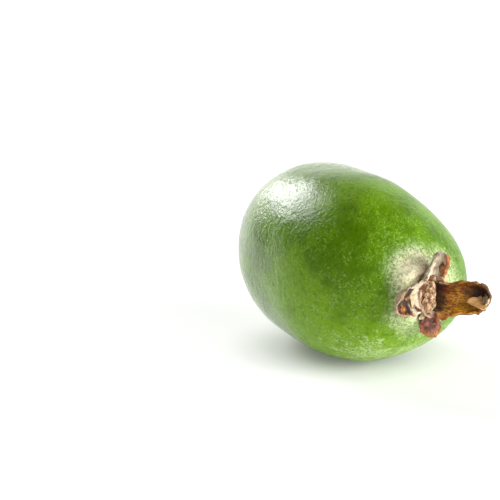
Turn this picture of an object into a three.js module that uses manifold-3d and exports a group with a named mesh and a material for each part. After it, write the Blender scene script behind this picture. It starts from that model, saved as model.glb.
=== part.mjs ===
// Feijoa (pineapple guava): one whole fruit lying on its side, in millimetres.
//
// +X runs along the fruit's axis, from the stalk end to the calyx end, and +Z is up.
// The origin lies on the small flat spot that the fruit rests on, below its centre of mass.
//
// Three pieces:
//   fruit        the green body, with the stalk scar at -X and the woolly crown ring at +X
//   calyx        the dried cup at the blossom end with its four persistent sepals
//   floral_disc  the rough, corky remains of the flower's disc, inside the cup

import * as THREE from "three";
import { mergeVertices } from "three/addons/utils/BufferGeometryUtils.js";
import Module from "manifold-3d";

const wasm = await Module();
wasm.setup();

const { PI, abs, cos, exp, hypot, max, min, pow, sin, sqrt } = Math;
const DEG = PI / 180;

// ---------------------------------------------------------------- driving dimensions

const FRUIT_LENGTH = 70; // stalk end to blossom end, without the calyx
const FRUIT_RADIUS = 24; // at the fullest ring
const FULLNESS = 2.6; // 2 gives an ellipsoid, more gives blunter ends
const TAPER = 0.01; // how much slimmer the calyx end is than the stalk end

// The section isn't round: two low swellings and three lower ribs, which grow to the calyx end.
const SWELLINGS = { count: 2, height: 0.033, grows: 0, at: -36 * DEG };
const RIBS = { count: 3, height: 0.033, grows: 0.025, at: -12 * DEG };

// Gentle unevenness of the skin: how deep, and the lengths over which it changes.
const DENTS = { depth: 0.16, along: 13, across: 4 };

const STALK_DIMPLE = { radius: 5.5, depth: 1.7 };
const STALK_SCAR = { radius: 2.1, height: 0.9 };

const CROWN_RING = { radius: 6.8, width: 2.2, height: 1.6 }; // the woolly swelling round the calyx
const SEAT_RADIUS = 5.3; // the level floor that the calyx stands on
const SEAT_X = 34.6;

// How the fruit lies: its calyx end a little up, and its lowest point pressed flat.
const PITCH = 0.5 * DEG;
const PRESSED = 0.4;

const FRUIT_SIDES = 68;
const FRUIT_RINGS = 42;

const GAP = 0.3; // between pieces that touch

const CALYX_OFFSET = 1; // the calyx sits this far off the fruit's axis, towards +Y

// The cup has dried to an oval, narrow across Y and tall along Z. dip: how much lower its rim is on
// the +Y side, under the longest sepal.
const CUP = { halfWidth: 3.0, halfHeight: 4.7, wall: 0.8, height: 2.2, flare: 0.06, dip: 0.5 };
const CUP_SIDES = 40;

// Each sepal is a leathery blade. at: its place round the axis, from +Y towards +Z. lean: the angle
// between the axis and the blade where it leaves the cup. curl: how far the blade bends outwards
// along its length. hook: how far its last part bends back in, and hookFrom: where along it that
// begins. roll: how far its edges curl in, at the root and at the tip. twist: how far it turns about
// its own length. sway: how far it bends sideways. blunt: where along it its end begins to round
// off. tip: the least share of its width that the rounded end keeps.
const SEPALS = [
  {
    at: -5, length: 12.6, width: 9.9, lean: 44, curl: 18, hook: 96, hookFrom: 0.62,
    roll: [58, 66], twist: 6, sway: 13, blunt: 0.94, tip: 0.76,
  },
  {
    at: 80, length: 5.8, width: 6.3, lean: 60, curl: 22, hook: 10, hookFrom: 0.55,
    roll: [56, 116], twist: -26, sway: -8, blunt: 0.88, tip: 0.6,
  },
  {
    at: 176, length: 12.1, width: 8.8, lean: 54, curl: 26, hook: 84, hookFrom: 0.62,
    roll: [30, 102], twist: 12, sway: 4, blunt: 0.94, tip: 0.86,
  },
  {
    at: 275, length: 5.0, width: 6.4, lean: 47, curl: 56, hook: -20, hookFrom: 0.55,
    roll: [-20, -70], twist: -8, sway: 2, blunt: 0.8, tip: 0.58,
  },
];
const SEPAL_THICKNESS = 1;
const THINNING = 0.2; // the share of its thickness that a blade loses at its edges and at its tip
const SEPAL_ROOT = 1.6; // how deep a blade's root is sunk in the cup wall
const SEPAL_STEPS = 18;
const SEPAL_STRIPS = 8;
const WAIST = 0.84; // a blade's width at its root and where it is widest, as shares of its full width
const BELLY = 0.16;
const RAGGED = [
  { share: 0.07, waves: 9, phase: 1 },
  { share: 0.05, waves: 23, phase: 3 },
];
const WRINKLES = { height: 0.26, along: 10, across: 4 };

const DISC = { halfWidth: 1.75, halfHeight: 4.1, offCentre: -0.6, height: 3.2, relief: 0.5 };
const DISC_SIDES = 40;

const COLOURS = {
  skin: { color: 0x6a9a1c, roughness: 0.45, metalness: 0 },
  sepal: { color: 0x7d4a1c, roughness: 0.6, metalness: 0 },
  cork: { color: 0xb9936a, roughness: 0.9, metalness: 0 },
};

// ---------------------------------------------------------------- tools

// Moves every vertex of a geometry to where place(vertex) says.
function reshape(geometry, place) {
  const position = geometry.getAttribute("position");
  const vertex = new THREE.Vector3();
  for (let i = 0; i < position.count; i++) {
    vertex.fromBufferAttribute(position, i);
    const to = place(vertex);
    position.setXYZ(i, to.x, to.y, to.z);
  }
  return geometry;
}

// A closed geometry as a solid that can be joined and cut.
function solid(geometry) {
  const bare = geometry.clone();
  bare.deleteAttribute("normal");
  bare.deleteAttribute("uv");
  const merged = mergeVertices(bare, 1e-4);
  return new wasm.Manifold(
    new wasm.Mesh({
      numProp: 3,
      vertProperties: merged.getAttribute("position").array,
      triVerts: new Uint32Array(merged.index.array),
    }),
  );
}

// A solid as a flat-shaded geometry.
function geometryOf(body) {
  const mesh = body.getMesh();
  const geometry = new THREE.BufferGeometry();
  geometry.setAttribute("position", new THREE.BufferAttribute(mesh.vertProperties, 3));
  geometry.setIndex(new THREE.BufferAttribute(mesh.triVerts, 1));
  const flat = geometry.toNonIndexed();
  flat.computeVertexNormals();
  return flat;
}

function namedMesh(name, geometry, look) {
  const mesh = new THREE.Mesh(geometry, new THREE.MeshStandardMaterial(look));
  mesh.name = name;
  return mesh;
}

const bell = (distance, width) => exp(-pow(distance / width, 2));

// A smooth, uneven field between about -1 and 1.
function ripple(x, y, z, seed) {
  return (
    0.5 * sin(1.0 * x + 1.7 * y - 0.6 * z + 2.1 * seed) +
    0.3 * sin(-1.3 * x + 0.9 * y + 1.8 * z + 4.7 * seed) +
    0.2 * sin(2.3 * x - 1.1 * y + 1.2 * z + 0.9 * seed)
  );
}

// ---------------------------------------------------------------- fruit

// Distance from the axis at t, which goes from -1 at the stalk end to 1 at the calyx end.
const radiusAt = (t) => FRUIT_RADIUS * sqrt(max(0, 1 - pow(abs(t), FULLNESS))) * (1 - TAPER * t);

const swell = (shape, t, around) =>
  (shape.height + shape.grows * t) * cos(shape.count * (around - shape.at));

// How far along the axis the surface lies at distance r from it, near the two ends.
function endRelief(t, x, r) {
  if (t < 0) {
    const dimple = STALK_DIMPLE.depth * bell(r, STALK_DIMPLE.radius);
    const scar = STALK_SCAR.height * bell(r, STALK_SCAR.radius);
    return x + dimple - scar;
  }
  const raised = x + CROWN_RING.height * bell(r - CROWN_RING.radius, CROWN_RING.width);
  return r < SEAT_RADIUS ? min(raised, SEAT_X) : raised;
}

// The fruit's surface, pushed out by grow, in its own axis frame.
function fruitGeometry(grow) {
  const profile = [];
  for (let ring = 0; ring <= FRUIT_RINGS; ring++) {
    const t = -cos((PI * ring) / FRUIT_RINGS);
    profile.push(new THREE.Vector2(radiusAt(t), t));
  }
  const lathe = new THREE.LatheGeometry(profile, FRUIT_SIDES);
  return reshape(lathe, ({ x: across, y: t, z: over }) => {
    const r = hypot(across, over);
    const around = Math.atan2(over, -across);
    const uneven = ripple((FRUIT_LENGTH * t) / DENTS.along, across / DENTS.across, over / DENTS.across, 3);
    const dent = DENTS.depth * uneven * (1 - t * t);
    const reach = r * (1 + swell(SWELLINGS, t, around) + swell(RIBS, t, around)) + dent;
    const x = endRelief(t, (t * FRUIT_LENGTH) / 2, reach) + grow * t;
    const out = r > 0 ? reach * (1 + grow / r) : 0;
    return new THREE.Vector3(x, out * cos(around), out * sin(around));
  });
}

// Turns a point from the fruit's axis frame to the frame it rests in.
const laid = (point) => point.applyAxisAngle(new THREE.Vector3(0, 1, 0), -PITCH);

// ---------------------------------------------------------------- calyx

// Half the width of a blade at u along it, on the side that sign gives, with a ragged edge.
function halfWidth({ width, blunt, tip }, u, sign, seed) {
  const outline = WAIST + BELLY * sin(0.85 * PI * u);
  const rounding = u > blunt ? sqrt(1 - pow((u - blunt) / (1 - blunt), 2)) : 1;
  let torn = 1;
  for (const { share, waves, phase } of RAGGED) torn += share * sin(waves * u + phase * seed + 2 * sign);
  return (width / 2) * outline * max(tip, rounding) * torn;
}

// The midline of a blade, walked in even steps in the plane of the axis (x) and the radius (r).
function midline({ length, lean, curl, hook, hookFrom, sway }) {
  const pace = (length + SEPAL_ROOT) / SEPAL_STEPS;
  const walk = [{ x: 0, r: 0, side: 0, turn: lean * DEG }];
  for (let i = 1; i <= SEPAL_STEPS; i++) {
    const u = i / SEPAL_STEPS;
    const back = hook * pow(max(0, u - hookFrom) / (1 - hookFrom), 1.5);
    const turn = (lean + curl * u - back) * DEG;
    const { x, r, side } = walk[i - 1];
    const drift = sin(sway * DEG * u);
    walk.push({ x: x + pace * cos(turn), r: r + pace * sin(turn), side: side + pace * drift, turn });
  }
  return walk;
}

// A blade from a box: x runs 0 to 1 along it, y runs -1 to 1 across it, z says which face.
function sepalGeometry(sepal, seed) {
  const { at, roll, twist } = sepal;
  const blade = new THREE.BoxGeometry(1, 2, 1, SEPAL_STEPS, SEPAL_STRIPS, 1);
  blade.translate(0.5, 0, 0);
  const walk = midline(sepal);
  const angle = at * DEG;
  const radius = rimRadius(angle) - CUP.wall / 2;
  return reshape(blade, ({ x: u, y: v, z: face }) => {
    const step = walk[Math.round(u * SEPAL_STEPS)];
    const w = halfWidth(sepal, u, Math.sign(v), seed);
    const bend = (roll[0] + (roll[1] - roll[0]) * u) * DEG;
    const across = (w * sin(bend * v)) / bend;
    const lift = (w * (1 - cos(bend * v))) / bend;
    const folds = ripple(WRINKLES.along * u, WRINKLES.across * v, WRINKLES.across * u * v, seed);
    const thickness = SEPAL_THICKNESS * (1 - THINNING * v * v) * (1 - THINNING * u);
    const height = WRINKLES.height * min(1, 2 * u) * folds + face * thickness;
    // Thickness is measured square to the bent section.
    const flatSide = across - height * sin(bend * v);
    const flatRise = lift + height * cos(bend * v);
    // The inner face looks to the axis: its normal is (sin turn, -cos turn) in (x, r).
    const turned = twist * DEG * u;
    const side = step.side + flatSide * cos(turned) - flatRise * sin(turned);
    const rise = flatSide * sin(turned) + flatRise * cos(turned);
    const x = step.x + rise * sin(step.turn);
    const r = radius + step.r - rise * cos(step.turn);
    return new THREE.Vector3(
      SEAT_X + GAP + CUP.height - SEPAL_ROOT + x,
      CALYX_OFFSET + r * cos(angle) - side * sin(angle),
      r * sin(angle) + side * cos(angle),
    );
  });
}

// The oval rim's distance from the axis, in the direction of around.
function rimRadius(around) {
  return 1 / hypot(cos(around) / CUP.halfWidth, sin(around) / CUP.halfHeight);
}

// The cup wall: a turned ring, stretched to the oval, with an uneven rim.
function cupGeometry() {
  const inner = 1 - CUP.wall / CUP.halfWidth;
  // Across in shares of the oval's half size, and up in mm.
  const profile = [
    new THREE.Vector2(inner, 0),
    new THREE.Vector2(1, 0),
    new THREE.Vector2(1 + CUP.flare, CUP.height * 0.5),
    new THREE.Vector2(1 + 2 * CUP.flare, CUP.height),
    new THREE.Vector2(1 - CUP.flare, CUP.height * 1.06),
    new THREE.Vector2(inner, CUP.height * 0.7),
    new THREE.Vector2(inner, 0),
  ];
  const ring = new THREE.LatheGeometry(profile, CUP_SIDES);
  return reshape(ring, ({ x: across, y: rise, z: over }) => {
    const around = Math.atan2(over, -across);
    const lowered = 1 - CUP.dip * pow(max(0, cos(around)), 2);
    const uneven = (1 + 0.26 * ripple(4 * cos(around), 5 * sin(around), 0, 5)) * lowered;
    return new THREE.Vector3(
      SEAT_X + GAP + rise * uneven,
      CALYX_OFFSET - across * CUP.halfWidth,
      over * CUP.halfHeight,
    );
  });
}

function calyxGeometry() {
  const blades = SEPALS.map((sepal, i) => solid(sepalGeometry(sepal, i + 1)));
  const joined = blades.reduce((body, blade) => body.add(blade), solid(cupGeometry()));
  const clear = joined.subtract(solid(fruitGeometry(GAP))).subtract(solid(discGeometry(GAP)));
  const largest = clear.decompose().sort((a, b) => b.volume() - a.volume())[0];
  return geometryOf(largest);
}

// ---------------------------------------------------------------- floral disc

// A low corky mound in the cup with rough ridges along Z, pushed out by grow.
function discGeometry(grow) {
  // Both ways in shares of the mound's size.
  const profile = [
    new THREE.Vector2(0, 0),
    new THREE.Vector2(0.9, 0),
    new THREE.Vector2(1, 0.4),
    new THREE.Vector2(0.97, 0.7),
    new THREE.Vector2(0.82, 0.88),
    new THREE.Vector2(0.58, 0.97),
    new THREE.Vector2(0.3, 1),
    new THREE.Vector2(0, 1),
  ];
  const mound = new THREE.LatheGeometry(profile, DISC_SIDES);
  return reshape(mound, ({ x: across, y: rise, z: over }) => {
    const relief = DISC.relief * rise * ripple(5 * across, 5 * over, 0, 7);
    const ragged = 1 + 0.09 * rise * ripple(3 * across, 7 * over, 2 * rise, 2);
    return new THREE.Vector3(
      SEAT_X + GAP + rise * (DISC.height + grow) + relief - (1 - rise) * grow,
      CALYX_OFFSET + DISC.offCentre - across * ragged * (DISC.halfWidth + grow),
      over * ragged * (DISC.halfHeight + grow),
    );
  });
}

// ---------------------------------------------------------------- the whole fruit

function build() {
  const fruit = fruitGeometry(0);
  const calyx = calyxGeometry();
  const disc = discGeometry(0);
  for (const geometry of [fruit, calyx, disc]) reshape(geometry, laid);

  // The lowest point comes down to the surface, and a little of it is pressed flat.
  fruit.computeBoundingBox();
  const floor = fruit.boundingBox.min.z + PRESSED;
  for (const geometry of [fruit, calyx, disc]) geometry.translate(0, 0, -floor);
  reshape(fruit, ({ x, y, z }) => new THREE.Vector3(x, y, max(0, z)));
  for (const geometry of [fruit, calyx, disc]) geometry.computeVertexNormals();

  const group = new THREE.Group();
  group.add(namedMesh("fruit", fruit, COLOURS.skin));
  group.add(namedMesh("calyx", calyx, COLOURS.sepal));
  group.add(namedMesh("floral_disc", disc, COLOURS.cork));
  return group;
}

export default build();
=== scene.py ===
"""Feijoa: the looks of one whole fruit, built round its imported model.

The frame is in metres, with +X along the fruit from the stalk to the calyx and +Z up. The forms are
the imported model's own, by the same formulas, in millimetres.
"""

import math

import bpy
import numpy as np
from mathutils import Matrix, Vector, kdtree


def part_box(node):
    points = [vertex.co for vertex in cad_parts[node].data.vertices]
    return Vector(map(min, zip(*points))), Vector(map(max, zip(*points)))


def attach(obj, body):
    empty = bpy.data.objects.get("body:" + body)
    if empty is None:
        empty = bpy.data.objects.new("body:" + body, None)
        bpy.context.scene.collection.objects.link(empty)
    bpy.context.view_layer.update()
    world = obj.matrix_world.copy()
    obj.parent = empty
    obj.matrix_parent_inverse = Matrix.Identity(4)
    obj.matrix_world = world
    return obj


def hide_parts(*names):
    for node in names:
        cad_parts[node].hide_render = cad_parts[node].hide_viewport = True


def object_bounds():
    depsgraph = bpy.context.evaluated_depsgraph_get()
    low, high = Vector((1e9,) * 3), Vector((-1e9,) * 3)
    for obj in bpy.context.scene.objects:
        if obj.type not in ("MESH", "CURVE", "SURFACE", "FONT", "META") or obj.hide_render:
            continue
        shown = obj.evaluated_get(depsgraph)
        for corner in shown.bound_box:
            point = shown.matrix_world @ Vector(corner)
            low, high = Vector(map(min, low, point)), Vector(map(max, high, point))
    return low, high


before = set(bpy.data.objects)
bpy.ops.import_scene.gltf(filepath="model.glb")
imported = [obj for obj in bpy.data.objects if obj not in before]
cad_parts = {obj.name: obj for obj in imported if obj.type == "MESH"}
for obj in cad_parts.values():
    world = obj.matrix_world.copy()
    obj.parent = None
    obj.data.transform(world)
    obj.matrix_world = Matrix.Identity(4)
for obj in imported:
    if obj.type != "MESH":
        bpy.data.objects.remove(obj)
CAD_LOW, CAD_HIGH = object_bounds()

MM = 0.001
DEG = math.pi / 180

# ---------------------------------------------------------------- the forms' sizes, in mm and degrees

FRUIT_LENGTH = 70
FRUIT_RADIUS = 24
FULLNESS = 2.6  # 2 gives an ellipsoid, more gives blunter ends
TAPER = 0.01  # how much slimmer the calyx end is than the stalk end
# Two low swellings and three lower ribs, which grow to the calyx end, as shares of the radius.
SWELLINGS = {"count": 2, "height": 0.033, "grows": 0, "at": -36}
RIBS = {"count": 3, "height": 0.033, "grows": 0.025, "at": -12}
# Gentle unevenness: how deep, and the lengths over which it changes.
DENTS = {"depth": 0.16, "along": 13, "across": 4}
STALK_DIMPLE = {"radius": 5.5, "depth": 1.7}
STALK_SCAR = {"radius": 2.1, "height": 0.9}
CROWN_RING = {"radius": 6.8, "width": 2.2, "height": 1.6}  # the woolly swelling round the calyx
SEAT_RADIUS = 5.3  # the level floor that the calyx stands on
SEAT_X = 34.6
PITCH = 0.5  # how far the calyx end is turned up
GAP = 0.3  # between pieces that touch
CALYX_OFFSET = 1  # the calyx sits this far off the fruit's axis, towards +Y
# The oval cup. dip: how much lower its rim is on the +Y side, under the longest blade.
CUP = {"half_width": 3.0, "half_height": 4.7, "wall": 0.8, "height": 2.2, "flare": 0.06, "dip": 0.5}
# The four blades. at: a blade's place round the axis, from +Y towards +Z. lean: the angle between
# the axis and the blade where it leaves the cup. curl: how far it bends outwards along its length.
# hook: how far its last part, from hook_from on, bends back in. roll: how far its edges curl in, at
# the root and at the tip. twist: how far it turns about its own length. sway: how far it bends
# sideways. blunt: where along it its end begins to round off. tip: the least share of its width
# that the rounded end keeps.
SEPALS = [
    {
        "at": -5, "length": 12.6, "width": 9.9, "lean": 44, "curl": 18, "hook": 96, "hook_from": 0.62,
        "roll": (58, 66), "twist": 6, "sway": 13, "blunt": 0.94, "tip": 0.76,
    },
    {
        "at": 80, "length": 5.8, "width": 6.3, "lean": 60, "curl": 22, "hook": 10, "hook_from": 0.55,
        "roll": (56, 116), "twist": -26, "sway": -8, "blunt": 0.88, "tip": 0.6,
    },
    {
        "at": 176, "length": 12.1, "width": 8.8, "lean": 54, "curl": 26, "hook": 84, "hook_from": 0.62,
        "roll": (30, 102), "twist": 12, "sway": 4, "blunt": 0.94, "tip": 0.86,
    },
    {
        "at": 275, "length": 5.0, "width": 6.4, "lean": 47, "curl": 56, "hook": -20, "hook_from": 0.55,
        "roll": (-20, -70), "twist": -8, "sway": 2, "blunt": 0.8, "tip": 0.58,
    },
]
SEPAL_THICKNESS = 1
THINNING = 0.2  # the share of its thickness that a blade loses at its edges and at its tip
SEPAL_ROOT = 1.6  # how deep a blade's root is sunk in the cup wall
WAIST = 0.84  # a blade's width at its root, and what it gains where it is widest, as shares
BELLY = 0.16
RAGGED = [(0.07, 9, 1), (0.05, 23, 3)]  # the waves of its edges: share, waves, phase
WRINKLES = {"height": 0.26, "along": 10, "across": 4}
DISC = {"half_width": 1.75, "half_height": 4.1, "off_centre": -0.6, "height": 3.2, "relief": 0.5}
DISC_PROFILE = [(0, 0), (0.9, 0), (1, 0.4), (0.97, 0.7), (0.82, 0.88), (0.58, 0.97), (0.3, 1), (0, 1)]

# What follows is in the looks alone.

# Torn scraps still hanging on the blades: on which blade, where along (u) and across (v) it, their
# length and width, the way they point in the blade's face (0 to its tip, 90 to its edge), how they
# lift and curl, and their colour (pale), from rusty at 0 over golden at 0.5 to cream at 1.
SCRAPS = [
    {"on": 0, "u": 0.93, "v": -0.5, "size": (4.8, 5.2), "way": 205, "lift": 58, "curl": 6, "pale": 0.62},
    {"on": 0, "u": 0.98, "v": -0.5, "size": (3.4, 2.2), "way": 90, "lift": 25, "curl": 10, "pale": 0.85},
    {"on": 0, "u": 0.19, "v": -0.92, "size": (3.0, 4.6), "way": -104, "lift": -40, "curl": -10, "pale": 0.5},
    {"on": 2, "u": 0.34, "v": -0.2, "size": (3.6, 3.2), "way": 80, "lift": 24, "curl": -6, "pale": 1.0},
    {"on": 2, "u": 0.14, "v": -0.85, "size": (1.7, 1.8), "way": -70, "lift": 66, "curl": 30, "pale": 0.1},
    {"on": 2, "u": 0.24, "v": 0.66, "size": (2.4, 2.6), "way": 50, "lift": 22, "curl": 40, "pale": 0.2},
    {"on": 3, "u": 0.14, "v": -0.60, "size": (2.4, 2.6), "way": 190, "lift": 24, "curl": 10, "pale": 0.9},
    {"on": 1, "u": 0.55, "v": -0.90, "size": (1.4, 4.0), "way": -84, "lift": 60, "curl": 80, "pale": 0.15},
    {"on": 1, "u": 0.12, "v": -0.80, "size": (2.4, 2.6), "way": -50, "lift": 24, "curl": 10, "pale": 0.72},
    {"on": 1, "u": 0.10, "v": 0.85, "size": (1.6, 1.6), "way": 80, "lift": 60, "curl": 20, "pale": 0.0},
]
# sunk: how deep a scrap's root lies in its blade. point: the least half of its width, at its tip.
SCRAP = {"thickness": 0.42, "thinning": 0.35, "steps": 26, "strips": 18, "sunk": 0.5, "point": 0.12}

# How the skin changes round the calyx: a pale dusting all round it, a felt of wool above it, one
# almost bare spot and two with more bloom. The bare spot, left of the left blade, is a darker green
# that also stands in for that blade's shadow, as painted shade. Each is given by its shift from the
# calyx's foot and its reach.
CROWN_REACH = 15
WOOL = {"shift": (-0.4, -2.6, 4.0), "reach": 12}
BARE_SHADE = {"shift": (-4, -12.4, 0.5), "reach": 4.2}
DUSTY = {"shift": (-1.5, -6, -6.2), "reach": 4.5}
POWDERY = {"shift": (-3.5, 8, 6), "reach": 5.5}
# How much waxy bloom there is, and what adds to it or takes from it.
BLOOM = {
    "everywhere": 0.34, "low_front": 0.34, "crown": 0.32, "top": -0.16,
    "dusty": 0.18, "powdery": 0.2, "bare_shade": -0.3, "patchy": 0.12,
}

# Heights of the fine relief on each piece. sunk: how far the surface is set in to make room for it.
# seat: how far the floor under the calyx is lowered.
SKIN_RELIEF = {"pebbles": 0.04, "creases": 0.045, "dents": 0.16, "seat": -0.1, "sunk": 0.06}
WOOL_RELIEF = {"ridges": 0.1, "fuzz": 0.07}
BLADE_RELIEF = {
    "cup": 0.24, "fibres": 0.13, "grit": 0.09, "lumps": 0.12, "blisters": 0.22, "ridges": 0.2,
    "sunk": 0.05,
}
DISC_RELIEF = {"folds": 0.5, "crumbs": 0.22, "lumps": 0.3, "sunk": 0.16}

# The stalk end: cracked cork with a torn edge and a pit, in a raised rim with puckers round it.
SCAR_RADIUS = 2.45
SCAR_FADE = 0.25
SCAR_TEAR = 0.4
SCAR_CRACKS = 0.34
SCAR_PIT = {"depth": 0.5, "radius": 0.7}
SCAR_RIM = {"height": 0.3, "radius": 2.2, "width": 0.4}
PUCKERS = {"count": 11, "height": 0.16, "radius": 3.4, "width": 1.1}

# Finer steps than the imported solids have, and the cells in which overlapping shells are fused.
FRUIT_SIDES = 330
FRUIT_RINGS = 250
SEPAL_STEPS = 96
SEPAL_STRIPS = 56
CUP_SIDES = 200
VOXEL = 0.12
DISC_SIDES = 180
DISC_ROWS = 120
DISC_VOXEL = 0.065

# ---------------------------------------------------------------- fields
# The whole numbers given to these as seeds only make one field unlike the next.


def ripple(x, y, z, seed):
    """A smooth, uneven field between about -1 and 1."""
    return (
        0.5 * np.sin(1.0 * x + 1.7 * y - 0.6 * z + 2.1 * seed)
        + 0.3 * np.sin(-1.3 * x + 0.9 * y + 1.8 * z + 4.7 * seed)
        + 0.2 * np.sin(2.3 * x - 1.1 * y + 1.2 * z + 0.9 * seed)
    )


def bell(distance, width):
    """1 at no distance, falling to about a third at one width."""
    return np.exp(-((distance / width) ** 2))


def smooth(low, high, x):
    """0 at low and 1 at high, with a soft start and end."""
    t = np.clip((x - low) / (high - low), 0, 1)
    return t * t * (3 - 2 * t)


def value_noise(points, seed):
    """Smooth noise from -1 to 1 at each row of points, one cell per unit."""
    cell = np.floor(points).astype(np.int64)
    part = points - cell
    part = part * part * (3 - 2 * part)
    total = np.zeros(len(points))
    for corner in np.ndindex(2, 2, 2):
        at = cell + np.array(corner)
        # Large odd factors and shifts scramble the cell's place into 16 bits that look random.
        mixed = at[:, 0] * 374761393 + at[:, 1] * 668265263 + at[:, 2] * 2147483647 + seed * 1274126177
        mixed = (mixed ^ (mixed >> 13)) * 1274126177
        mixed = mixed ^ (mixed >> 16)
        weight = np.prod(np.where(corner, part, 1 - part), axis=1)
        total += weight * ((mixed & 0xFFFF) / 32767.5 - 1)
    return total


def layered(points, seed, octaves=4, fade=0.5):
    """Several scales of noise added up, each half the size of the last."""
    total, share, reach = np.zeros(len(points)), 1.0, 0.0
    for octave in range(octaves):
        total += share * value_noise(points * 2**octave + 17.3 * octave, seed + octave)
        reach += share
        share *= fade
    return total / reach


def ridged(points, seed, octaves=3):
    """Sharp ridges near 1, and valleys near -1."""
    total, share, reach = np.zeros(len(points)), 1.0, 0.0
    for octave in range(octaves):
        noise = value_noise(points * 2**octave + 31.7 * octave, seed + octave)
        total += share * (1 - 2 * np.abs(noise))
        reach += share
        share *= 0.5
    return total / reach


# ---------------------------------------------------------------- meshes


def make_object(name, points, faces, smooth_shaded=True):
    """A mesh object from points in mm."""
    mesh = bpy.data.meshes.new(name)
    mesh.from_pydata((np.asarray(points) * MM).tolist(), [], faces)
    mesh.update()
    mesh.polygons.foreach_set("use_smooth", [smooth_shaded] * len(mesh.polygons))
    made = bpy.data.objects.new(name, mesh)
    bpy.context.scene.collection.objects.link(made)
    return made


def points_of(piece):
    """The piece's points in mm."""
    flat = np.zeros(len(piece.data.vertices) * 3)
    piece.data.vertices.foreach_get("co", flat)
    return flat.reshape(-1, 3) / MM


def set_points(piece, points):
    """Moves the piece's points, in mm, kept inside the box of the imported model."""
    low, high = np.array(CAD_LOW), np.array(CAD_HIGH)
    inside = np.clip(points * MM, low, high)
    piece.data.vertices.foreach_set("co", inside.ravel())
    piece.data.update()


def normals_of(piece):
    """The way the surface faces at each point."""
    flat = np.zeros(len(piece.data.vertices) * 3)
    piece.data.vertices.foreach_get("normal", flat)
    return flat.reshape(-1, 3)


def add_field(piece, name, values):
    """Stores one number, or one vector, for each point, for the material to read."""
    values = np.asarray(values, dtype=np.float32)
    kind, key = ("FLOAT", "value") if values.ndim == 1 else ("FLOAT_VECTOR", "vector")
    field = piece.data.attributes.new(name, kind, "POINT")
    field.data.foreach_set(key, values.ravel())


def to_rest(points):
    """From the fruit's axis frame to the frame it rests in."""
    x, y, z = points.T
    turn = PITCH * DEG
    x, z = x * math.cos(turn) - z * math.sin(turn), x * math.sin(turn) + z * math.cos(turn)
    return np.stack([x, y, z + AXIS_HEIGHT], axis=1)


# ---------------------------------------------------------------- fruit


def radius_at(t):
    """The fruit's radius, t of the way from the stalk (-1) to the calyx (1)."""
    return FRUIT_RADIUS * np.sqrt(np.maximum(0, 1 - np.abs(t) ** FULLNESS)) * (1 - TAPER * t)


def swell(shape, t, around):
    """How much low ribs round the fruit add to its radius, as a share of it."""
    height = shape["height"] + shape["grows"] * t
    return height * np.cos(shape["count"] * (around - shape["at"] * DEG))


def fruit_points(t, around):
    """Points of the fruit's smooth surface in its axis frame. t: -1 at the stalk, 1 at the calyx."""
    r = radius_at(t)
    over, across = r * np.sin(around), -r * np.cos(around)
    along = FRUIT_LENGTH * t / DENTS["along"]
    uneven = ripple(along, across / DENTS["across"], over / DENTS["across"], 3)
    reach = r * (1 + swell(SWELLINGS, t, around) + swell(RIBS, t, around))
    reach = reach + DENTS["depth"] * uneven * (1 - t * t)
    x = t * FRUIT_LENGTH / 2
    dimple = STALK_DIMPLE["depth"] * bell(reach, STALK_DIMPLE["radius"])
    scar = STALK_SCAR["height"] * bell(reach, STALK_SCAR["radius"])
    raised = x + CROWN_RING["height"] * bell(reach - CROWN_RING["radius"], CROWN_RING["width"])
    seated = np.where(reach < SEAT_RADIUS, np.minimum(raised, SEAT_X), raised)
    x = np.where(t < 0, x + dimple - scar, seated)
    return np.stack([x, reach * np.cos(around), reach * np.sin(around)], axis=1)


def axis_height():
    """How high the fruit's axis lies at the origin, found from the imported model's highest point."""
    t, around = np.meshgrid(np.linspace(-0.6, 0.6, 240), np.linspace(0, math.pi, 240))
    top = fruit_points(t.ravel(), around.ravel())
    turn = PITCH * DEG
    highest = (top[:, 0] * math.sin(turn) + top[:, 2] * math.cos(turn)).max()
    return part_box("fruit")[1].z / MM - highest


AXIS_HEIGHT = axis_height()
CALYX_CENTRE = to_rest(np.array([[SEAT_X, CALYX_OFFSET, 0.0]]))[0]


def fruit_grid():
    """The grid's points with one point at each pole, and its faces, which look outwards."""
    rings = np.arange(1, FRUIT_RINGS)
    t = -np.cos(math.pi * rings / FRUIT_RINGS)
    around = 2 * math.pi * np.arange(FRUIT_SIDES) / FRUIT_SIDES
    tt, aa = np.meshgrid(t, around, indexing="ij")
    t_all = np.concatenate([[-1.0], tt.ravel(), [1.0]])
    around_all = np.concatenate([[0.0], aa.ravel(), [0.0]])
    faces = []
    last = 1 + (FRUIT_RINGS - 1) * FRUIT_SIDES
    for side in range(FRUIT_SIDES):
        beside = (side + 1) % FRUIT_SIDES
        faces.append((0, 1 + beside, 1 + side))
        for ring in range(FRUIT_RINGS - 2):
            a, b = 1 + ring * FRUIT_SIDES, 1 + (ring + 1) * FRUIT_SIDES
            faces.append((a + side, a + beside, b + beside, b + side))
        end = 1 + (FRUIT_RINGS - 2) * FRUIT_SIDES
        faces.append((last, end + side, end + beside))
    return t_all, around_all, faces


def distance_to(points, spot):
    """How far the points are from a spot given by its shift from the calyx's foot."""
    return np.linalg.norm(points - CALYX_CENTRE - spot["shift"], axis=1)


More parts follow.
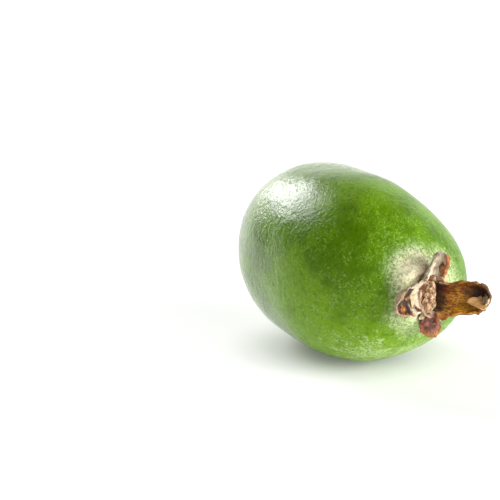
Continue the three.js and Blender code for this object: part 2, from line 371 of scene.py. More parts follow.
def stalk_end_relief(points, t, around, from_axis, scar):
    """The scar's cracks and pit, its raised rim, and the puckers round it."""
    stalk = (t < 0).astype(float)
    pit = SCAR_PIT["depth"] * bell(from_axis, SCAR_PIT["radius"])
    cork = SCAR_CRACKS * ridged(points / 0.8, 53, 3) - pit
    side, over = np.cos(around), np.sin(around)
    uneven = 1 + 0.5 * ripple(5 * side, 5 * over, 0, 9)
    rim = SCAR_RIM["height"] * bell(from_axis - SCAR_RIM["radius"], SCAR_RIM["width"]) * uneven
    waves = np.cos(PUCKERS["count"] * around + 2 * ripple(2 * side, 2 * over, 0, 4))
    puckers = PUCKERS["height"] * waves * bell(from_axis - PUCKERS["radius"], PUCKERS["width"])
    return scar * cork + stalk * (rim + puckers)


def make_fruit():
    """The body: fine relief in its mesh, and the fields that its material reads."""
    t, around, faces = fruit_grid()
    axis_points = fruit_points(t, around)
    points = to_rest(axis_points)
    piece = make_object("feijoa_skin", points, faces)
    normals = normals_of(piece)

    from_axis = np.hypot(axis_points[:, 1], axis_points[:, 2])
    crown = np.clip(1 - np.linalg.norm(points - CALYX_CENTRE, axis=1) / CROWN_REACH, 0, 1)
    spots = (BARE_SHADE, DUSTY, POWDERY)
    bare_shade, dusty, powdery = (bell(distance_to(points, spot), spot["reach"]) for spot in spots)
    # Less dust, wool and bloom at the bare spot: partly bare skin, partly painted shade of the left blade.
    crown = np.clip(crown - 0.5 * bare_shade + 0.12 * powdery, 0, 1)
    wool = np.clip(1 - distance_to(points, WOOL) / WOOL["reach"] - 0.3 * bare_shade, 0, 1)
    woolly = np.maximum(smooth(0.35, 0.6, crown), smooth(0.45, 0.68, wool))
    torn = SCAR_TEAR * layered(points / 0.8, 59, 2)
    scar = (t < 0) * smooth(SCAR_RADIUS + SCAR_FADE, SCAR_RADIUS - SCAR_FADE, from_axis + torn)
    seat = (t > 0) * smooth(SEAT_RADIUS + 0.4, SEAT_RADIUS - 0.4, from_axis)

    # The waxy bloom is thickest low down towards the calyx and thinnest on top.
    x, y, z = points.T
    shares = {
        "everywhere": 1, "low_front": smooth(17, 5, z) * smooth(2, 26, x), "crown": crown,
        "top": smooth(22, 38, z), "dusty": dusty, "powdery": powdery, "bare_shade": bare_shade,
        "patchy": layered(points / 9, 97, 2),
    }
    bloom = sum(BLOOM[name] * share for name, share in shares.items())

    # Pebbled skin with fine creases round the fruit.
    crease = points / np.array([1.1, 1.9, 1.9])
    relief = SKIN_RELIEF["pebbles"] * layered(points / 1.2, 11, 3)
    relief += SKIN_RELIEF["creases"] * ridged(crease, 23, 2) * (1 - woolly)
    relief += SKIN_RELIEF["dents"] * layered(points / 7.5, 5, 2) * (1 - np.abs(t) ** 4)
    relief += SKIN_RELIEF["seat"] * seat
    # The woolly ring is lumpy.
    relief += woolly * WOOL_RELIEF["ridges"] * ridged(points / 1.5, 41, 3)
    relief += woolly * WOOL_RELIEF["fuzz"] * layered(points / 0.7, 47, 2)
    relief += stalk_end_relief(points, t, around, from_axis, scar)
    set_points(piece, points + normals * (relief - SKIN_RELIEF["sunk"])[:, None])
    add_field(piece, "gloss", smooth(17, -8, x))
    add_field(piece, "crown", crown)
    add_field(piece, "wool", wool)
    add_field(piece, "scar", scar)
    add_field(piece, "bloom", bloom)
    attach(piece, "root")
    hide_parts("fruit")
    return piece


# ---------------------------------------------------------------- calyx


def half_width(sepal, u, sign, seed):
    """From a blade's midline to one of its ragged edges. u: 0 at the root, 1 at the tip."""
    outline = WAIST + BELLY * math.sin(0.85 * math.pi * u)
    blunt = sepal["blunt"]
    rounding = math.sqrt(max(0, 1 - ((u - blunt) / (1 - blunt)) ** 2)) if u > blunt else 1
    torn = 1
    for share, waves, phase in RAGGED:
        torn += share * math.sin(waves * u + phase * seed + 2 * sign)
    return sepal["width"] / 2 * outline * max(sepal["tip"], rounding) * torn


def midline(sepal, steps):
    """The blade's midline in the plane of the axis (x) and the radius (r), with its turn in radians."""
    pace = (sepal["length"] + SEPAL_ROOT) / steps
    x = r = side = 0.0
    walk = [(x, r, side, sepal["lean"] * DEG)]
    for i in range(1, steps + 1):
        u = i / steps
        back = sepal["hook"] * (max(0, u - sepal["hook_from"]) / (1 - sepal["hook_from"])) ** 1.5
        turn = (sepal["lean"] + sepal["curl"] * u - back) * DEG
        x, r = x + pace * math.cos(turn), r + pace * math.sin(turn)
        side += pace * math.sin(sepal["sway"] * DEG * u)
        walk.append((x, r, side, turn))
    return walk


def rim_radius(around):
    """The oval cup's radius in the direction around."""
    return 1 / math.hypot(math.cos(around) / CUP["half_width"], math.sin(around) / CUP["half_height"])


def blade_sheet(sepal, seed, face):
    """One face of a blade: rows of points from root to tip, edge to edge. face: 1 in, -1 out."""
    walk = midline(sepal, SEPAL_STEPS)
    angle = sepal["at"] * DEG
    radius = rim_radius(angle) - CUP["wall"] / 2
    v = np.linspace(-1, 1, SEPAL_STRIPS + 1)
    rows = []
    for i, (mid_x, mid_r, mid_side, turn) in enumerate(walk):
        u = i / SEPAL_STEPS
        w = np.where(v < 0, half_width(sepal, u, -1, seed), half_width(sepal, u, 1, seed))
        bend = (sepal["roll"][0] + (sepal["roll"][1] - sepal["roll"][0]) * u) * DEG
        across = w * np.sin(bend * v) / bend
        lift = w * (1 - np.cos(bend * v)) / bend
        folds = ripple(WRINKLES["along"] * u, WRINKLES["across"] * v, WRINKLES["across"] * u * v, seed)
        thickness = SEPAL_THICKNESS * (1 - THINNING * v * v) * (1 - THINNING * u)
        height = WRINKLES["height"] * min(1, 2 * u) * folds + face * thickness / 2
        flat_side = across - height * np.sin(bend * v)
        flat_rise = lift + height * np.cos(bend * v)
        turned = sepal["twist"] * DEG * u
        side = mid_side + flat_side * math.cos(turned) - flat_rise * math.sin(turned)
        rise = flat_side * math.sin(turned) + flat_rise * math.cos(turned)
        x = SEAT_X + GAP + CUP["height"] - SEPAL_ROOT + mid_x + rise * math.sin(turn)
        r = radius + mid_r - rise * math.cos(turn)
        y = CALYX_OFFSET + r * math.cos(angle) - side * math.sin(angle)
        z = r * math.sin(angle) + side * math.cos(angle)
        rows.append(np.stack([x, y, z], axis=1))
    return np.array(rows)


def blade(sepal, seed):
    """A blade's points, its faces, and for each point: along, across, face, which sepal, how pale
    a scrap it is (-1 on the blade itself), and its place in mm along and across the fibres."""
    rows, columns = SEPAL_STEPS + 1, SEPAL_STRIPS + 1
    inner, outer = blade_sheet(sepal, seed, 1), blade_sheet(sepal, seed, -1)
    points = np.concatenate([inner.reshape(-1, 3), outer.reshape(-1, 3)])
    u, v = np.meshgrid(np.linspace(0, 1, rows), np.linspace(-1, 1, columns), indexing="ij")
    one = np.stack([u.ravel(), v.ravel()], axis=1)
    facing = np.repeat([1.0, -1.0], rows * columns)
    both = np.tile(one, (2, 1))
    fibres = both * [sepal["length"], sepal["width"] / 2]
    same = np.tile([float(seed), -1.0], (len(points), 1))
    facts = np.column_stack([both, facing, same, fibres])
    return points, sheet_faces(rows, columns), facts


def sheet_faces(rows, columns):
    """The faces of a closed sheet: its inner grid of points, its outer one, and the edge between."""
    half = rows * columns
    faces = []
    for i in range(rows - 1):
        for j in range(columns - 1):
            a = i * columns + j
            quad = (a, a + 1, a + columns + 1, a + columns)
            faces.append(quad)
            faces.append(tuple(half + k for k in reversed(quad)))
    edge = list(range(columns))
    edge += [i * columns + columns - 1 for i in range(1, rows)]
    edge += [(rows - 1) * columns + j for j in range(columns - 2, -1, -1)]
    edge += [i * columns for i in range(rows - 2, 0, -1)]
    for a, b in zip(edge, edge[1:] + edge[:1]):
        faces.append((b, a, half + a, half + b))
    return faces


def scrap(torn, seed):
    """A small pointed tongue of blade, lifted off the blade's inner face, with facts as a blade's."""
    sepal = SEPALS[torn["on"]]
    inner, outer = blade_sheet(sepal, torn["on"] + 1, 1), blade_sheet(sepal, torn["on"] + 1, -1)
    i = round(torn["u"] * SEPAL_STEPS)
    j = round((torn["v"] + 1) / 2 * SEPAL_STRIPS)
    i, j = min(max(i, 1), SEPAL_STEPS - 1), min(max(j, 1), SEPAL_STRIPS - 1)
    along, across = inner[i + 1, j] - inner[i - 1, j], inner[i, j + 1] - inner[i, j - 1]
    square = inner[i, j] - outer[i, j]
    along, square = along / np.linalg.norm(along), square / np.linalg.norm(square)
    across = across - along * (across @ along)
    across /= np.linalg.norm(across)
    way = torn["way"] * DEG
    ahead = math.cos(way) * along + math.sin(way) * across
    beside = np.cross(square, ahead)
    length, width = torn["size"]
    steps, strips = SCRAP["steps"], SCRAP["strips"]
    place = inner[i, j] - square * SCRAP["sunk"] * 0.4 - ahead * SCRAP["sunk"]
    w = np.linspace(-1, 1, strips + 1)
    sheets = {1: [], -1: []}
    for step in range(steps + 1):
        share = step / steps
        turn = (torn["lift"] + torn["curl"] * share) * DEG
        forward = math.cos(turn) * ahead + math.sin(turn) * square
        upward = math.cos(turn) * square - math.sin(turn) * ahead
        uneven = 1 + 0.12 * math.sin(9 * share + seed)
        half = width / 2 * (1 - share) ** 0.62 * uneven + SCRAP["point"]
        bowed = 0.32 * width * (w * w - 0.4) * math.sin(2.1 * share + 0.4)
        bowed += 0.16 * np.sin(5 * w + 6 * share + seed)
        thick = SCRAP["thickness"] * (1 - SCRAP["thinning"] * share)
        for face, rows in sheets.items():
            off = bowed * 0.5 + face * thick / 2
            rows.append(place + np.outer(w * half, beside) + np.outer(off, upward))
        place = place + forward * length / steps
    points = np.concatenate([np.concatenate(sheets[1]), np.concatenate(sheets[-1])])
    facts = np.tile([torn["u"], torn["v"], 1.0, torn["on"] + 1, torn["pale"]], (len(points), 1))
    lengthwise, crosswise = np.meshgrid(np.linspace(0, length, steps + 1), w * width / 2, indexing="ij")
    fibres = np.stack([lengthwise.ravel() + 40 + 7 * seed, crosswise.ravel()], axis=1)
    facts = np.column_stack([facts, np.tile(fibres, (2, 1))])
    return points, sheet_faces(steps + 1, strips + 1), facts


def cup_ring():
    """The oval cup wall as a closed ring, with the facts that a blade's points have."""
    inner = 1 - CUP["wall"] / CUP["half_width"]
    flare, height = CUP["flare"], CUP["height"]
    profile = [
        (inner, 0), (1, 0), (1 + flare, height * 0.5), (1 + 2 * flare, height),
        (1 - flare, height * 1.06), (inner, height * 0.7),
    ]
    points = []
    for side in range(CUP_SIDES):
        around = 2 * math.pi * side / CUP_SIDES
        uneven = 1 + 0.26 * ripple(4 * math.cos(around), 5 * math.sin(around), 0, 5)
        uneven *= 1 - CUP["dip"] * max(0, math.cos(around)) ** 2
        for out, rise in profile:
            points.append(
                (
                    SEAT_X + GAP + rise * uneven,
                    CALYX_OFFSET + out * math.cos(around) * CUP["half_width"],
                    out * math.sin(around) * CUP["half_height"],
                )
            )
    faces = []
    count = len(profile)
    for side in range(CUP_SIDES):
        a, b = side * count, (side + 1) % CUP_SIDES * count
        for k in range(count):
            n = (k + 1) % count
            faces.append((a + k, b + k, b + n, a + n))
    facts = np.tile([0.0, 0.0, 0.0, 0.0, -1.0, 0.0, 0.0], (len(points), 1))
    return np.array(points), faces, facts


def join_parts(parts):
    """Puts (points, faces, facts) lists together."""
    points, faces, facts, start = [], [], [], 0
    for part_points, part_faces, part_facts in parts:
        points.append(part_points)
        faces += [tuple(start + k for k in face) for face in part_faces]
        facts.append(part_facts)
        start += len(part_points)
    return np.concatenate(points), faces, np.concatenate(facts)


def fuse(piece, voxel):
    """Melts overlapping closed shells into one surface."""
    remesh = piece.modifiers.new("fuse", "REMESH")
    remesh.mode = "VOXEL"
    remesh.voxel_size = voxel * MM
    remesh.use_smooth_shade = True
    bpy.context.view_layer.objects.active = piece
    with bpy.context.temp_override(object=piece, active_object=piece):
        bpy.ops.object.modifier_apply(modifier=remesh.name)


def nearest_facts(points, sources, facts):
    """For each point, the facts of the nearest source point."""
    tree = kdtree.KDTree(len(sources))
    for i, source in enumerate(sources):
        tree.insert(source, i)
    tree.balance()
    return facts[[tree.find(point)[1] for point in points]]


def make_calyx():
    """The cup, its four blades and their scraps, fused, with fibres and wrinkles in the mesh."""
    parts = [blade(sepal, i + 1) for i, sepal in enumerate(SEPALS)] + [cup_ring()]
    parts += [scrap(torn, i) for i, torn in enumerate(SCRAPS)]
    axis_points, faces, facts = join_parts(parts)
    rest_points = to_rest(axis_points)
    piece = make_object("calyx_sepals", rest_points, faces)
    fuse(piece, VOXEL)
    points, normals = points_of(piece), normals_of(piece)
    u, v, facing, which, pale, lengthwise, crosswise = nearest_facts(points, rest_points, facts).T

    grain = np.stack([lengthwise, crosswise, which * 11 + facing * 3], axis=1)
    on_cup = which < 0.5
    grain[on_cup] = points[on_cup] - CALYX_CENTRE

    fibre = np.stack([grain[:, 0] / 3.4, grain[:, 1] / 0.62, grain[:, 2]], axis=1)
    cup_cracks = BLADE_RELIEF["cup"] * ridged(points / 1.3, 61, 3)
    relief = np.where(on_cup, cup_cracks, BLADE_RELIEF["fibres"] * ridged(fibre, 67, 2))
    relief += BLADE_RELIEF["grit"] * layered(points / 0.55, 71, 3)
    relief += BLADE_RELIEF["lumps"] * layered(points / 1.9, 73, 2)
    # The lower blade is blistered, and the upper one ridged along its fibres.
    relief += (which == 4) * BLADE_RELIEF["blisters"] * ridged(points / 1.2, 79, 2)
    relief += (which == 2) * BLADE_RELIEF["ridges"] * ridged(fibre * np.array([0.8, 0.55, 1]), 113, 2)
    set_points(piece, points + normals * (relief - BLADE_RELIEF["sunk"])[:, None])
    add_field(piece, "grain", grain)
    add_field(piece, "along", u)
    add_field(piece, "across", v)
    add_field(piece, "facing", facing)
    add_field(piece, "pale", pale)
    for i in range(len(SEPALS)):
        add_field(piece, f"sepal_{i + 1}", (which == i + 1).astype(float))
    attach(piece, "root")
    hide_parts("calyx")
    return piece


# ---------------------------------------------------------------- floral disc

def make_disc():
    """The corky mound, split by deep cracks that run along it."""
    along = np.linspace(0, len(DISC_PROFILE) - 1, DISC_ROWS)
    shares = np.array(DISC_PROFILE, float)
    across_share = np.interp(along, np.arange(len(shares)), shares[:, 0])
    rise_share = np.interp(along, np.arange(len(shares)), shares[:, 1])
    points, faces = [], []
    for across, rise in zip(across_share, rise_share):
        around = 2 * math.pi * np.arange(DISC_SIDES) / DISC_SIDES
        side, over = -across * np.cos(around), across * np.sin(around)
        relief = DISC["relief"] * rise * ripple(5 * side, 5 * over, 0, 7)
        torn = 1 + 0.09 * rise * ripple(3 * side, 7 * over, 2 * rise, 2)
        x = SEAT_X + GAP + rise * DISC["height"] + relief
        y = CALYX_OFFSET + DISC["off_centre"] - side * torn * DISC["half_width"]
        z = over * torn * DISC["half_height"]
        points.append(np.stack([x, y, z], axis=1))
    rows = len(points)
    for i in range(rows - 1):
        for j in range(DISC_SIDES):
            n = (j + 1) % DISC_SIDES
            a, b = i * DISC_SIDES, (i + 1) * DISC_SIDES
            faces.append((a + j, a + n, b + n, b + j))
    piece = make_object("floral_disc_cork", to_rest(np.concatenate(points)), faces)
    fuse(piece, DISC_VOXEL)
    points, normals = points_of(piece), normals_of(piece)
    bent = points + 0.7 * np.stack([layered(points / 1.6, 101 + k, 2) for k in range(3)], axis=1)
    folds = ridged(bent / np.array([1.3, 1.0, 2.8]), 83, 3)
    crumbs = layered(points / 0.5, 89, 3)
    relief = DISC_RELIEF["folds"] * folds + DISC_RELIEF["crumbs"] * crumbs
    relief += DISC_RELIEF["lumps"] * layered(points / 1.7, 107, 2)
    set_points(piece, points + normals * (relief - DISC_RELIEF["sunk"])[:, None])
    add_field(piece, "crack_shade", np.clip(-folds - 0.5 * crumbs, 0, 1))
    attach(piece, "root")
    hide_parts("floral_disc")
    return piece


# ---------------------------------------------------------------- materials


class Nodes:
    """A short way to write a material's nodes."""

    def __init__(self, name):
        self.material = bpy.data.materials.new(name)
        self.material.use_nodes = True
        self.tree = self.material.node_tree
        self.shader = self.tree.nodes["Principled BSDF"]

    def add(self, kind, **values):
        """A new node with its settings."""
        node = self.tree.nodes.new(kind)
        for key, value in values.items():
            setattr(node, key, value)
        return node

    def link(self, value, socket):
        """Gives a socket a number or a colour, or what another node gives out."""
        if isinstance(value, bpy.types.NodeSocket):
            self.tree.links.new(value, socket)
        else:
            socket.default_value = value

    def field(self, name, part="Fac"):
        """What add_field stored under the name."""
        return self.add("ShaderNodeAttribute", attribute_name=name).outputs[part]

    def place(self):
        """Where a point is, in metres, so that a noise of scale 1000 has patches of a millimetre."""
        return self.add("ShaderNodeTexCoord").outputs["Object"]

    def math(self, operation, a, b=0.0, clamp=False):
        node = self.add("ShaderNodeMath", operation=operation, use_clamp=clamp)
        self.link(a, node.inputs[0])
        self.link(b, node.inputs[1])
        return node.outputs[0]

    def scaled(self, vector, scale, turn=0.0):
        """The vector turned about z by some degrees, after it is scaled."""
        node = self.add("ShaderNodeMapping")
        self.link(vector, node.inputs["Vector"])
        node.inputs["Scale"].default_value = scale
        node.inputs["Rotation"].default_value[2] = turn * DEG
        return node.outputs[0]

    def noise(self, vector, scale, detail=4.0, rough=0.55, distort=0.0):
        node = self.add("ShaderNodeTexNoise")
        self.link(vector, node.inputs["Vector"])
        node.inputs["Scale"].default_value = scale
        node.inputs["Detail"].default_value = detail
        node.inputs["Roughness"].default_value = rough
        node.inputs["Distortion"].default_value = distort
        return node.outputs[0]

    def range(self, value, low, high, to_low=0.0, to_high=1.0):
        """to_low where the value is at low, to_high where it is at high, with soft ends."""
        node = self.add("ShaderNodeMapRange", interpolation_type="SMOOTHSTEP")
        self.link(value, node.inputs["Value"])
        names = ("From Min", "From Max", "To Min", "To Max")
        for name, number in zip(names, (low, high, to_low, to_high)):
            node.inputs[name].default_value = number
        return node.outputs[0]

    def mix(self, share, a, b):
        """The colour a, with a share of the colour b."""
        node = self.add("ShaderNodeMix", data_type="RGBA")
        self.link(share, node.inputs[0])
        self.link(a, node.inputs[6])
        self.link(b, node.inputs[7])
        return node.outputs[2]

    def bump(self, height, distance, strength=1.0, under=None):
        """Bumps as deep as distance, in metres, on top of those under them."""
        node = self.add("ShaderNodeBump")
        self.link(height, node.inputs["Height"])
        node.inputs["Distance"].default_value = distance
        node.inputs["Strength"].default_value = strength
        if under is not None:
            self.link(under, node.inputs["Normal"])
        return node.outputs[0]

    def set(self, socket, value):
        """Gives one of the shader's sockets a value."""
        self.link(value, self.shader.inputs[socket])


def colour(red, green, blue):
    """A colour given as it looks on screen, 0 to 255, as the shader's linear one."""
    shown = [c / 255 for c in (red, green, blue)]
    linear = [((c + 0.055) / 1.055) ** 2.4 if c > 0.04 else c / 12.92 for c in shown]
    return (*linear, 1.0)


def patch_noise(n, place):
    """Uneven patches with ragged edges, from a broad noise and a fine one."""
    broad, fine = n.noise(place, 170, 4, 0.6), n.noise(place, 700, 3, 0.65)
    return n.math("ADD", n.math("MULTIPLY", broad, 0.65), n.math("MULTIPLY", fine, 0.35))


def skin_material():
    """Green skin: uneven green, a mottled waxy bloom, a felt of pale hairs round the calyx."""
    n = Nodes("feijoa_skin")
    place = n.place()
    wide = n.noise(place, 45, 3, 0.5)
    green = n.mix(n.range(wide, 0.38, 0.62), colour(88, 128, 3), colour(124, 168, 5))
    blotch = n.noise(place, 190, 4, 0.6)
    green = n.mix(n.range(blotch, 0.4, 0.68, 0.0, 0.5), green, colour(116, 164, 4))
    mottle = n.noise(place, 800, 3, 0.6)
    green = n.mix(n.range(mottle, 0.48, 0.68, 0.0, 0.42), green, colour(50, 90, 4))

    # The bloom lies in patches, and within a patch in small flecks.
    density = n.math("MULTIPLY", n.math("SUBTRACT", n.field("bloom"), 0.5), 0.5)
    patch = n.range(n.math("ADD", n.noise(place, 260, 5, 0.65), density), 0.47, 0.63)
    grains = n.noise(place, 1400, 4, 0.72)
    flecks = n.range(n.math("ADD", grains, n.math("MULTIPLY", density, 0.5)), 0.48, 0.58)
    bloom = n.math("MULTIPLY", patch, n.range(flecks, 0, 1, 0.02, 0.8))
    skin = n.mix(bloom, green, colour(198, 220, 150))

    # Painted glints: small pale spots painted into the colour on the lighter blotches.
    sparks = n.range(n.noise(place, 2100, 2, 0.6), 0.54, 0.64)
    painted_glints = n.math("MULTIPLY", sparks, n.range(blotch, 0.36, 0.52))
    skin = n.mix(n.math("MULTIPLY", painted_glints, 0.42), skin, colour(172, 210, 110))

    # Felt: cream at the calyx, thinning to a pale green dust with a ragged edge.
    ragged = n.math("MULTIPLY", n.math("SUBTRACT", patch_noise(n, place), 0.5), 0.55)
    crown = n.math("ADD", n.field("crown"), ragged)
    wool = n.math("ADD", n.field("wool"), ragged)
    felt_grain = n.noise(place, 1500, 5, 0.8)
    dusted = n.math("MAXIMUM", n.range(crown, 0.06, 0.5), n.range(wool, 0.14, 0.52))
    dust = n.math("MULTIPLY", dusted, n.range(felt_grain, 0.43, 0.57, 0.09, 0.9))
    skin = n.mix(dust, skin, colour(218, 228, 178))
    felt = n.math("MAXIMUM", n.range(wool, 0.36, 0.76), n.range(crown, 0.56, 0.7))
    felt = n.math("MULTIPLY", felt, n.range(felt_grain, 0.4, 0.58, 0.45, 1.0))
    pinkish = n.range(n.noise(place, 420, 3, 0.6), 0.4, 0.6)
    skin = n.mix(felt, skin, n.mix(pinkish, colour(248, 238, 204), colour(246, 222, 192)))
    specks = n.range(n.noise(place, 1500, 3, 0.6), 0.6, 0.68)
    specks = n.math("MULTIPLY", specks, n.range(crown, 0.4, 0.66))
    skin = n.mix(n.math("MULTIPLY", specks, 0.75), skin, colour(118, 104, 62))
    scar = n.field("scar")
    bark = n.range(n.noise(place, 1500, 4, 0.7), 0.4, 0.6)
    bark = n.mix(bark, colour(62, 40, 24), colour(176, 146, 106))
    n.set("Base Color", n.mix(scar, skin, bark))

    woolly = n.math("MAXIMUM", n.range(crown, 0.25, 0.6), n.range(wool, 0.38, 0.62))
    dull = n.math("MAXIMUM", woolly, scar)
    # The skin shines most towards the stalk, and is duller under the bloom.
    gloss = n.field("gloss")
    rough = n.math("ADD", n.range(bloom, 0.0, 0.7, 0.0, 0.2), n.range(gloss, 0.0, 1.0, 0.3, 0.08))
    n.set("Roughness", n.math("ADD", rough, n.math("MULTIPLY", dull, 0.5), clamp=True))
    n.set("Specular IOR Level", n.range(gloss, 0.0, 1.0, 0.16, 0.5))
    n.set("Coat Weight", n.range(gloss, 0.1, 1.0, 0.0, 0.4))
    n.set("Coat Roughness", 0.08)
    n.set("Subsurface Weight", 0.1)
    n.set("Subsurface Radius", (0.4, 1.0, 0.15))
    n.set("Subsurface Scale", 0.0015)

    pebbles = n.noise(n.scaled(place, (1.15, 0.95, 0.95)), 1060, 2, 0.5)
    crinkles = n.noise(n.scaled(place, (1.2, 0.9, 0.9), 12), 1850, 2, 0.5)
    normal = n.bump(pebbles, 0.00017, 0.9)
    normal = n.bump(crinkles, 0.00013, 0.9, normal)
    normal = n.bump(felt_grain, 0.0001, 0.5, normal)
    n.set("Normal", normal)
    n.set("Coat Normal", normal)
    return n.material


def sepal_material():
    """Dried blades: golden brown inside, grey tan outside, each weathered in its own way."""
    n = Nodes("dried_sepal")
    grain, place = n.field("grain", "Vector"), n.place()
    along, across, facing = n.field("along"), n.field("across"), n.field("facing")
    first, second, third, fourth = (n.field(f"sepal_{i + 1}") for i in range(4))
    fibre = n.noise(n.scaled(grain, (0.28, 1.15, 1)), 1.5, 6, 0.7, 0.8)
    fine = n.noise(n.scaled(grain, (0.7, 5, 1)), 1.7, 3, 0.6, 0.3)
    mottle = n.noise(place, 420, 4, 0.65)
    threads = n.range(fibre, 0.34, 0.66)

    weathered = n.mix(threads, colour(186, 160, 124), colour(255, 244, 216))
    weathered = n.mix(n.range(mottle, 0.56, 0.66, 0.0, 0.7), weathered, colour(118, 82, 54))
    speckle = n.noise(place, 1000, 4, 0.72)
    golden = n.mix(n.range(speckle, 0.36, 0.64), colour(156, 76, 6), colour(252, 180, 40))
    golden = n.mix(n.range(threads, 0.7, 0.1, 0.0, 0.85), golden, colour(92, 42, 10))
    # Painted shade: darker towards the upper edge, which overhangs the hollow.
    golden = n.mix(n.range(across, -0.2, 0.7, 0.0, 0.55), golden, colour(96, 46, 12))
    golden = n.mix(n.range(mottle, 0.5, 0.66, 0.0, 0.7), golden, colour(84, 36, 10))
    # Painted highlight: bright golden streaks towards the lower edge.
    painted_gleam = n.math("MULTIPLY", n.range(fine, 0.52, 0.43), n.range(across, 0.3, -0.3))
    golden = n.mix(n.math("MULTIPLY", painted_gleam, 0.75), golden, colour(255, 192, 66))
    inner_face = n.range(facing, -0.2, 0.4)
    brown = n.mix(threads, colour(84, 52, 28), colour(166, 118, 66))
    body = n.mix(inner_face, n.mix(first, weathered, brown), golden)

    # The long blade: a red patch near its root, painted shade in the crevice at its root, and painted shade
    # in the hollow under its hooded tip.
    ruddy = n.math("MULTIPLY", n.range(along, 0.42, 0.2, 0.0, 0.6), n.range(mottle, 0.4, 0.56))
    body = n.mix(n.math("MULTIPLY", ruddy, first), body, colour(128, 48, 20))
    # Painted shade: almost black in the crevice at the blade's root, with a frayed edge.
    frayed = n.math("ADD", along, n.math("MULTIPLY", n.math("SUBTRACT", mottle, 0.5), 0.55))
    frayed = n.math("ADD", frayed, n.math("MULTIPLY", n.math("SUBTRACT", fibre, 0.5), 0.4))
    root = n.math("MULTIPLY", n.range(frayed, 0.24, 0.12, 0.0, 0.92), first)
    body = n.mix(root, body, colour(36, 15, 8))
    # Painted shade in the hollow under the hooded tip.
    beside = n.math("ABSOLUTE", n.math("SUBTRACT", across, 0.15))
    painted_hollow_shade = n.math("MULTIPLY", n.range(along, 0.36, 0.7), n.range(beside, 0.95, 0.3))
    painted_hollow_shade = n.math("MULTIPLY", painted_hollow_shade, n.math("MULTIPLY", inner_face, first))
    body = n.mix(n.math("MULTIPLY", painted_hollow_shade, 0.94), body, colour(28, 12, 4))

    # The upper blade: weathered grey on both faces, orange where its edge has torn.
    orange = n.mix(n.range(speckle, 0.36, 0.64), colour(140, 62, 22), colour(230, 152, 82))
    upper = n.mix(n.range(across, -0.66, -0.8), weathered, orange)
    body = n.mix(second, body, upper)

    # The left blade: cream on its flat part; in its cupped tip, painted shade darkens the hollow, with
    # orange patches.
    cream = n.mix(threads, colour(202, 178, 140), colour(250, 240, 216))
    rusty = n.mix(n.range(speckle, 0.38, 0.62), colour(122, 58, 14), colour(226, 142, 42))
    # Painted shade: the cupped tip's hollow is dark, with orange patches.
    pit = n.mix(n.range(mottle, 0.47, 0.62), colour(40, 22, 12), rusty)
    smoky = n.mix(threads, colour(126, 96, 64), colour(212, 184, 142))
    left = n.mix(n.range(along, 0.5, 0.7), cream, smoky)
    left = n.mix(n.math("MULTIPLY", n.range(along, 0.38, 0.48), inner_face), left, pit)
    body = n.mix(third, body, left)

    # The lower blade: red brown and blistered, golden at its end.
    red = n.mix(n.range(mottle, 0.36, 0.6), colour(74, 32, 16), colour(164, 88, 52))
    gilt = n.math("MULTIPLY", n.range(along, 0.55, 0.9), n.range(fine, 0.42, 0.6))
    red = n.mix(gilt, red, colour(214, 142, 62))
    body = n.mix(fourth, body, red)

    on_blade = n.math("ADD", n.math("ADD", first, second), n.math("ADD", third, fourth))
    corky = n.range(n.noise(place, 900, 4, 0.7), 0.36, 0.6)
    corky = n.mix(corky, colour(96, 60, 42), colour(216, 182, 150))
    body = n.mix(n.range(on_blade, 0.4, 0.6), corky, body)
    edge = n.range(n.math("ABSOLUTE", across), 0.96, 1.0)
    torn_edge = n.math("MULTIPLY", edge, n.range(mottle, 0.46, 0.62, 0.0, 0.7))
    body = n.mix(n.math("MULTIPLY", torn_edge, first), body, colour(214, 168, 104))

    # Torn scraps, from rusty brown to cream.
    pale = n.field("pale")
    torn = n.mix(n.range(pale, 0.1, 0.5), colour(132, 74, 34), colour(226, 158, 74))
    torn = n.mix(n.range(pale, 0.5, 0.85), torn, colour(234, 212, 170))
    torn = n.mix(n.range(threads, 0.1, 0.9, 0.5, 0.0), torn, colour(120, 82, 46))
    body = n.mix(n.range(pale, -0.6, -0.3), body, torn)

    n.set("Base Color", n.mix(n.range(fine, 0.52, 0.78, 0.0, 0.4), body, colour(70, 38, 16)))
    n.set("Roughness", n.range(fibre, 0.3, 0.7, 0.32, 0.6))
    n.set("Specular IOR Level", n.range(n.math("MULTIPLY", first, inner_face), 0.0, 1.0, 0.5, 0.25))
    n.set("Coat Weight", 0.2)
    n.set("Coat Roughness", 0.14)
    normal = n.bump(fibre, 0.0003, 0.9)
    normal = n.bump(fine, 0.00012, 0.7, normal)
    normal = n.bump(n.noise(place, 2400, 4, 0.7), 0.0001, 0.6, normal)
    n.set("Normal", normal)
    n.set("Coat Normal", normal)
    return n.material


def cork_material():
    """Rough cork: crumbly pale ridges, and painted shade darkening the cracks."""
    n = Nodes("floral_cork")
    place = n.place()
    grains = n.noise(place, 1300, 5, 0.72)
    body = n.mix(n.range(grains, 0.38, 0.6), colour(138, 92, 58), colour(238, 206, 164))
    pink = n.noise(place, 500, 2, 0.5)
    body = n.mix(n.range(pink, 0.5, 0.68, 0.0, 0.5), body, colour(190, 134, 96))
    dark_grains = n.range(n.noise(place, 1900, 3, 0.7), 0.6, 0.68, 0.0, 0.8)
    body = n.mix(dark_grains, body, colour(70, 42, 24))
    # Painted shade: the cracks between the folds are darkened.
    body = n.mix(n.range(n.field("crack_shade"), 0.05, 0.38), body, colour(38, 20, 10))
    n.set("Base Color", body)
    n.set("Roughness", n.range(grains, 0.3, 0.7, 0.72, 0.94))
    n.set("Specular IOR Level", 0.3)
    normal = n.bump(grains, 0.0005, 0.9)
    n.set("Normal", n.bump(n.noise(place, 3000, 3, 0.7), 0.0001, 0.7, normal))
    return n.material


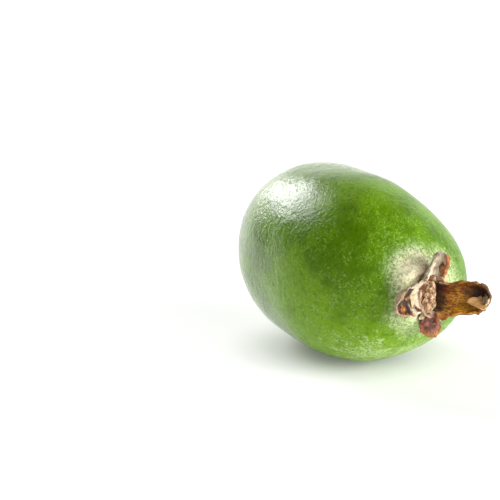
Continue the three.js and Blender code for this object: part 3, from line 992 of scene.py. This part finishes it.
def floor_material():
    """A pale floor that glows as painted light, dimmed near the fruit as a painted shadow."""
    n = Nodes("pale_floor")
    n.set("Base Color", (0.62, 0.62, 0.62, 1))
    n.set("Roughness", 0.7)
    # Painted light: the floor glows, least near the fruit, as a painted shadow round it.
    n.set("Emission Color", (1, 1, 1, 1))
    away = n.add("ShaderNodeVectorMath", operation="LENGTH")
    n.link(n.place(), away.inputs[0])
    n.set("Emission Strength", n.range(away.outputs["Value"], *PAINTED_SHADOW_REACH, *PAINTED_GLOW))
    return n.material


# ---------------------------------------------------------------- camera, floor and light

IMAGE = 500  # pixels along each side of the frame
VIEW_AZIMUTH = 61.7  # how far the camera is turned round from the fruit's -Y side
VIEW_ELEVATION = 15.6
VIEW_DISTANCE = 0.6
PIXELS_PER_METRE = 3943  # at the view distance
AXIS_PIXEL = (349.0, 261.2)  # where the middle of the fruit's axis shows
SENSOR = 36  # the width of the camera's sensor, in mm
FLOOR_SIZE = 6.0  # metres along each side
# The painted glow of the floor, and the reach of the painted shadow round the fruit.
PAINTED_SHADOW_REACH = (0.008, 0.034)  # metres from the origin where the floor's glow starts and stops rising
PAINTED_GLOW = (0.14, 0.58)  # its strength there


def view_axes(azimuth, elevation):
    """Unit vectors to the right, up and back to the camera."""
    a, e = azimuth * DEG, elevation * DEG
    right = Vector((math.cos(a), math.sin(a), 0))
    up = Vector((-math.sin(a) * math.sin(e), math.cos(a) * math.sin(e), math.cos(e)))
    back = Vector((math.sin(a) * math.cos(e), -math.cos(a) * math.cos(e), math.sin(e)))
    return right, up, back


def make_camera():
    """A camera from which the fruit shows as in the photo, in place, size and direction."""
    right, up, back = view_axes(VIEW_AZIMUTH, VIEW_ELEVATION)
    middle = IMAGE / 2
    aside = (AXIS_PIXEL[0] - middle) / PIXELS_PER_METRE
    above = (middle - AXIS_PIXEL[1]) / PIXELS_PER_METRE
    centre = Vector((0, 0, AXIS_HEIGHT * MM))
    data = bpy.data.cameras.new("camera")
    data.sensor_width = SENSOR
    data.lens = PIXELS_PER_METRE * VIEW_DISTANCE * SENSOR / IMAGE
    data.clip_start, data.clip_end = 0.01, 20
    camera = bpy.data.objects.new("camera", data)
    bpy.context.scene.collection.objects.link(camera)
    place = centre + back * VIEW_DISTANCE - right * aside - up * above
    turned = Matrix((right, up, back)).transposed().to_4x4()
    camera.matrix_world = Matrix.Translation(place) @ turned
    bpy.context.scene.camera = camera


def make_floor():
    """The surface that the fruit lies on."""
    half = FLOOR_SIZE / 2
    corners = np.array([(-half, -half, 0), (half, -half, 0), (half, half, 0), (-half, half, 0)]) / MM
    floor = make_object("floor", corners, [(0, 1, 2, 3)], False)
    floor.data.materials.append(floor_material())


def soft_box(name, way, distance, size, radiance):
    """A rectangular light. way: from the fruit to it, as shares of the view's right, up and back."""
    axes = view_axes(VIEW_AZIMUTH, VIEW_ELEVATION)
    target = Vector((0, 0, AXIS_HEIGHT * MM))
    towards = sum((axis * share for axis, share in zip(axes, way)), Vector()).normalized()
    data = bpy.data.lights.new(name, "AREA")
    data.shape = "RECTANGLE"
    data.size, data.size_y = size
    data.energy = radiance * math.pi * size[0] * size[1]
    lamp = bpy.data.objects.new(name, data)
    bpy.context.scene.collection.objects.link(lamp)
    lamp.location = target + towards * distance
    lamp.rotation_mode = "QUATERNION"
    lamp.rotation_quaternion = towards.to_track_quat("Z", "Y")


def make_lights():
    """Five large soft lights, the left one for the highlight, and a little light from all round."""
    soft_box("left_box", (-0.6, 0.62, -0.51), 1.0, (0.5, 0.36), 12.0)
    soft_box("right_box", (0.91, 0.12, 0.38), 1.0, (0.55, 0.5), 9.6)
    soft_box("front_fill", (0.6, 0.24, 0.76), 1.0, (0.8, 0.5), 4.4)
    soft_box("back_wall", (-0.05, 0.33, -0.92), 1.2, (2.6, 0.6), 1.3)
    soft_box("back_strip", (0.25, 0.7, -0.68), 1.1, (1.3, 0.3), 1.2)
    world = bpy.data.worlds.new("studio")
    bpy.context.scene.world = world
    world.use_nodes = True
    world.node_tree.nodes["Background"].inputs["Color"].default_value = (1, 1, 1, 1)
    world.node_tree.nodes["Background"].inputs["Strength"].default_value = 0.1
    bpy.context.scene.view_settings.view_transform = "Standard"


# ---------------------------------------------------------------- the scene

make_camera()
make_floor()
make_lights()
make_fruit().data.materials.append(skin_material())
make_calyx().data.materials.append(sepal_material())
make_disc().data.materials.append(cork_material())
